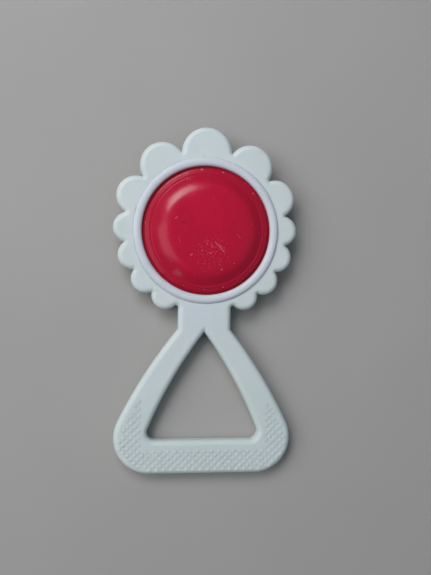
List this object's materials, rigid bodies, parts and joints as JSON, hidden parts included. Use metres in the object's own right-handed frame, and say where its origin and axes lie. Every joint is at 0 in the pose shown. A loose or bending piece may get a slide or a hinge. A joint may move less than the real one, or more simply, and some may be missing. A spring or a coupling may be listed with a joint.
{
  "type": "baby rattle",
  "caption": "Flat baby rattle with a petalled round head, a domed drum of loose pellets in a white bezel, and a triangular grip.",
  "frame": {"origin": "centre of the overall box, in the plane where the two frame halves meet", "axes": "+Y along the rattle from the grip to the top petal, +Z out of its front face, X across it"},
  "size_m": [0.077, 0.1448, 0.0164],
  "materials": {
    "white_plastic": "satin moulded white with a faint green tint",
    "bezel_plastic": "satin moulded white with a faint violet tint",
    "red_plastic": "glossy crimson with light scratches",
    "pellet_plastic": "glossy yellow"
  },
  "bodies": {
    "rattle": {"front_frame": "white_plastic", "back_frame": "white_plastic", "front_bezel": "bezel_plastic", "back_bezel": "bezel_plastic", "front_dome": "red_plastic", "back_dome": "red_plastic"},
    "pellet_1_body": {"pellet_1": "pellet_plastic"},
    "pellet_2_body": {"pellet_2": "pellet_plastic"},
    "pellet_3_body": {"pellet_3": "pellet_plastic"},
    "pellet_4_body": {"pellet_4": "pellet_plastic"},
    "pellet_5_body": {"pellet_5": "pellet_plastic"},
    "pellet_6_body": {"pellet_6": "pellet_plastic"},
    "pellet_7_body": {"pellet_7": "pellet_plastic"},
    "pellet_8_body": {"pellet_8": "pellet_plastic"}
  },
  "joints": [
    {"name": "pellet_1_shake", "type": "slide", "parent": "rattle", "child": "pellet_1_body", "axis": [0, 0, 1], "range_m": [0, 0.00805]},
    {"name": "pellet_2_shake", "type": "slide", "parent": "rattle", "child": "pellet_2_body", "axis": [0, 0, 1], "range_m": [0, 0.00794]},
    {"name": "pellet_3_shake", "type": "slide", "parent": "rattle", "child": "pellet_3_body", "axis": [0, 0, 1], "range_m": [0, 0.00783]},
    {"name": "pellet_4_shake", "type": "slide", "parent": "rattle", "child": "pellet_4_body", "axis": [0, 0, 1], "range_m": [0, 0.00772]},
    {"name": "pellet_5_shake", "type": "slide", "parent": "rattle", "child": "pellet_5_body", "axis": [0, 0, 1], "range_m": [0, 0.00761]},
    {"name": "pellet_6_shake", "type": "slide", "parent": "rattle", "child": "pellet_6_body", "axis": [0, 0, 1], "range_m": [0, 0.00751]},
    {"name": "pellet_7_shake", "type": "slide", "parent": "rattle", "child": "pellet_7_body", "axis": [0, 0, 1], "range_m": [0, 0.00738]},
    {"name": "pellet_8_shake", "type": "slide", "parent": "rattle", "child": "pellet_8_body", "axis": [0, 0, 1], "range_m": [0, 0.00724]}
  ]
}
